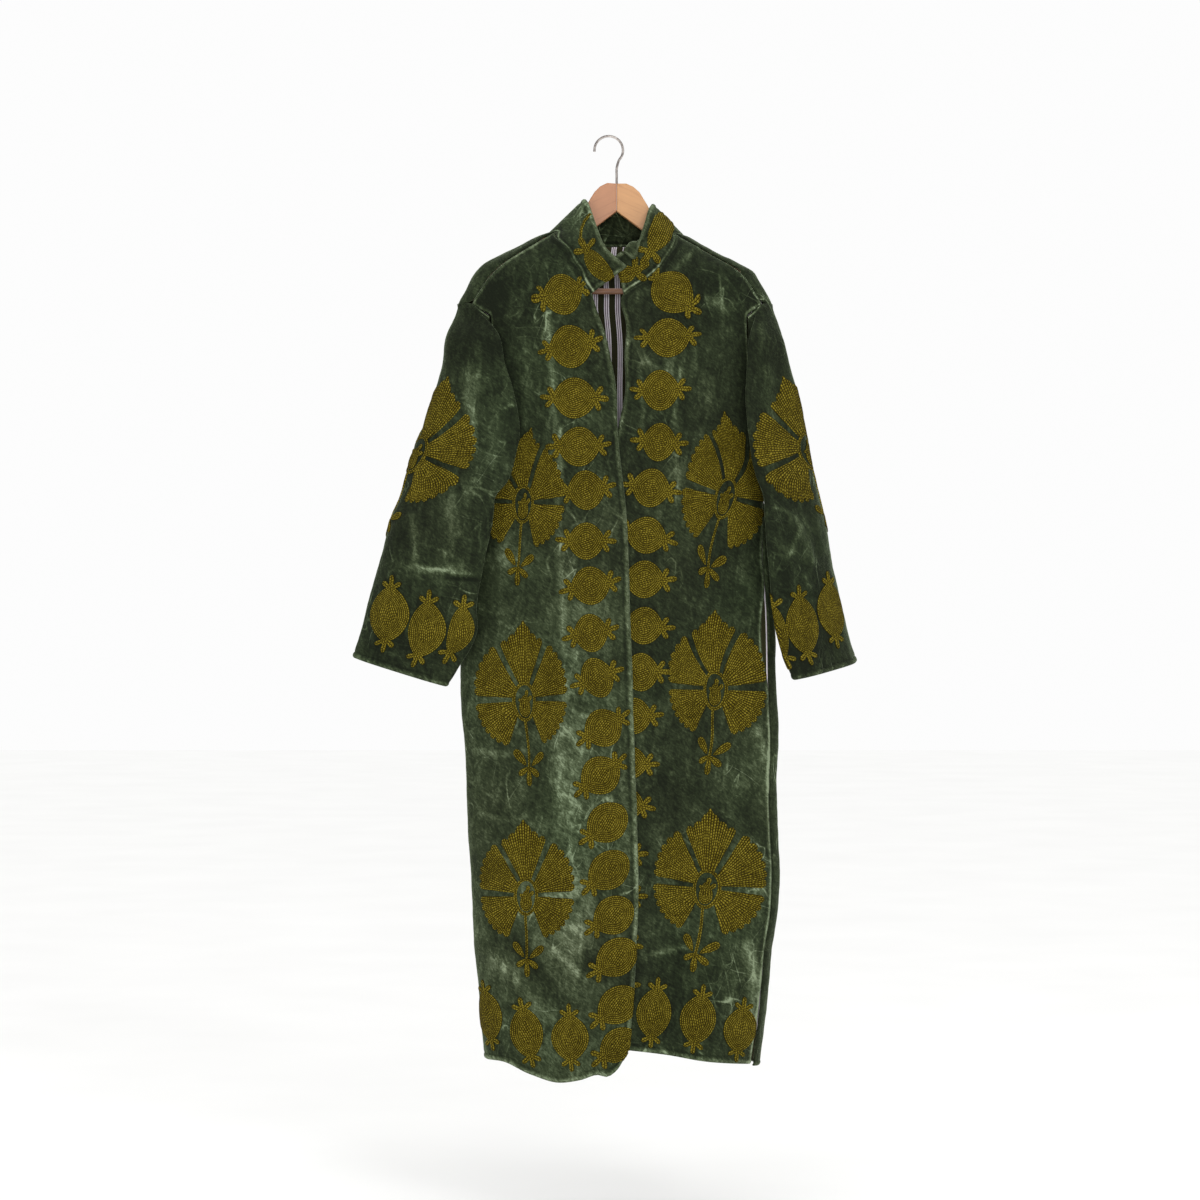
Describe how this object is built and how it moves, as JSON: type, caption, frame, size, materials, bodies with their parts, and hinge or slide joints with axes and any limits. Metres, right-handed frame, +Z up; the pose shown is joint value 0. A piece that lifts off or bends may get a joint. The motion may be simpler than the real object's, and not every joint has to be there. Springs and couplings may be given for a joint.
{
  "type": "embroidered velvet long jacket on a wooden hanger",
  "caption": "Long velvet coat with a stand collar, open throat, wide sleeves and a side pocket slit, hung on a wooden hanger with a wire hook.",
  "frame": {"origin": "inside top of the hanger's hook, where a rail holds it", "axes": "+Z up, +Y towards the back of the coat, +X to the right as the coat's front is seen"},
  "size_m": [0.7585, 0.1532, 1.4095],
  "materials": {
    "velvet": "dark green crushed velvet with olive chain-stitch embroidery",
    "embroidery": "olive wool thread in dense chain stitch",
    "lining": "woven lining in dark olive with pale lilac stripes",
    "wood": "smooth reddish pale wood, satin varnish",
    "steel": "plated wire"
  },
  "bodies": {
    "root": {"front_left": "velvet", "front_right": "velvet", "back": "velvet", "sleeve_left": "velvet", "sleeve_right": "velvet", "collar": "velvet", "back_lining": "lining", "pocket_facing": "lining", "hanger_arm_left": "wood", "hanger_arm_right": "wood", "hanger_bar": "wood", "hanger_hook": "steel"}
  },
  "joints": []
}
